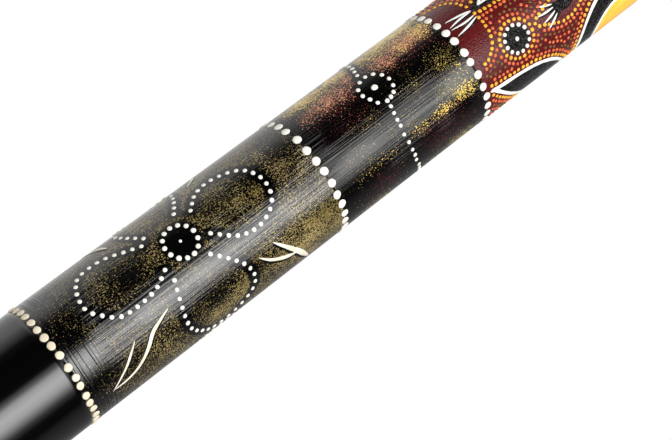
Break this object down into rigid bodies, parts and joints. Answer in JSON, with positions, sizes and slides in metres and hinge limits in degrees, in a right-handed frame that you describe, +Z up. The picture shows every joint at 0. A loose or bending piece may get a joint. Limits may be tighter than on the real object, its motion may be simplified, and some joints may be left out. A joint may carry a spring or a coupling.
{
  "type": "didgeridoo",
  "caption": "Straight, gently tapered wooden wind instrument: a glued two-half tube with painted bands, rings of raised dots and a wax mouthpiece.",
  "frame": {"origin": "centre of the bell rim's lowest plane, on the bore's axis", "axes": "+Z up the bore, from the bell to the mouthpiece; -Y the front of the artwork; +X to the right seen from the front"},
  "size_m": [0.07, 0.07, 1.3],
  "materials": {
    "teak": "sawn and oiled",
    "wood_glue": "clear amber",
    "beeswax": "hand-moulded wax",
    "black_lacquer": "satin lacquer",
    "olive_paint": "brushed and speckled, satin",
    "ember_paint": "brushed and speckled, satin",
    "maroon_paint": "brushed, satin",
    "cream_dot_paint": "raised acrylic",
    "white_dot_paint": "raised acrylic",
    "yellow_dot_paint": "raised acrylic",
    "orange_dot_paint": "raised acrylic",
    "khaki_dot_paint": "raised acrylic",
    "ochre_paint": "brushed, satin"
  },
  "bodies": {
    "root": {"front_shell_half": "teak", "back_shell_half": "teak", "left_glue_seam": "wood_glue", "right_glue_seam": "wood_glue", "beeswax_mouthpiece": "beeswax", "bell_black_coat": "black_lacquer", "lower_olive_coat": "olive_paint", "lower_ember_coat": "ember_paint", "maroon_coat": "maroon_paint", "upper_ember_coat": "ember_paint", "upper_olive_coat": "olive_paint", "mouth_black_coat": "black_lacquer", "lower_black_edge_dots": "cream_dot_paint", "lower_olive_edge_dots": "white_dot_paint", "lower_chain_dots": "white_dot_paint", "lower_maroon_edge_dots": "white_dot_paint", "upper_maroon_edge_dots": "white_dot_paint", "upper_chain_dots": "white_dot_paint", "upper_olive_edge_dots": "white_dot_paint", "upper_black_edge_dots": "cream_dot_paint"}
  },
  "joints": []
}
